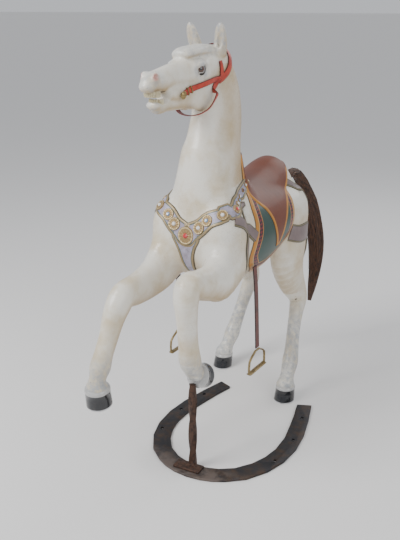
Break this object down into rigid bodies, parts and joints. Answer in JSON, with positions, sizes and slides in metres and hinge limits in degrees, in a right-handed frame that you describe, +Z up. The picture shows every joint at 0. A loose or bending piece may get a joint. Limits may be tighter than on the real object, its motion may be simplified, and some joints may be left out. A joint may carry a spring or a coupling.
{
  "type": "carousel horse",
  "caption": "Standing carousel horse of carved and painted wood with bridle, jewelled collar, saddle, blanket, stirrups and hair tail, held up by a twisted bar on a horseshoe base.",
  "frame": {"origin": "centre of the bounding box's bottom face, on the floor", "axes": "+Z up, the horse faces -Y and its left side is +X"},
  "size_m": [0.6014, 1.4406, 1.4557],
  "materials": {
    "painted_wood": "semi-gloss ivory paint over carved wood, with painted harness, saddle and blanket, yellowed varnish and fine cracks",
    "horsehair": "dark brown hair with reddish lights",
    "red_leather": "worn red leather",
    "brown_leather": "dark red-brown leather",
    "brass": "dull aged brass",
    "eye_glass": "brown glass eye",
    "dark_iron": "dark iron with rust and a lighter worn toe",
    "rusty_iron": "rusty brown iron",
    "jewel_red": "cut red glass",
    "jewel_white": "cut clear glass on foil",
    "jewel_blue": "cut blue glass",
    "jewel_purple": "cut dark purple glass"
  },
  "bodies": {
    "root": {"horse": "painted_wood", "tail": "horsehair", "bridle": "red_leather", "stirrup_leather_left": "brown_leather", "stirrup_leather_right": "brown_leather", "stirrup_iron_left": "brass", "stirrup_iron_right": "brass", "bit_rosette_left": "brass", "bit_rosette_right": "brass", "eye_left": "eye_glass", "eye_right": "eye_glass", "horseshoe": "dark_iron", "stand_bar": "rusty_iron", "jewel_01": "jewel_red", "jewel_02": "jewel_white", "jewel_03": "jewel_blue", "jewel_04": "jewel_white", "jewel_05": "jewel_red", "jewel_06": "jewel_white", "jewel_07": "jewel_blue", "jewel_08": "jewel_white", "jewel_09": "jewel_purple", "jewel_10": "jewel_white", "jewel_11": "jewel_white", "jewel_12": "jewel_white", "jewel_13": "jewel_blue", "jewel_14": "jewel_white", "jewel_15": "jewel_red", "jewel_16": "jewel_white", "jewel_17": "jewel_blue", "jewel_18": "jewel_white", "jewel_19": "jewel_purple", "jewel_20": "jewel_white", "jewel_21": "jewel_white"}
  },
  "joints": []
}
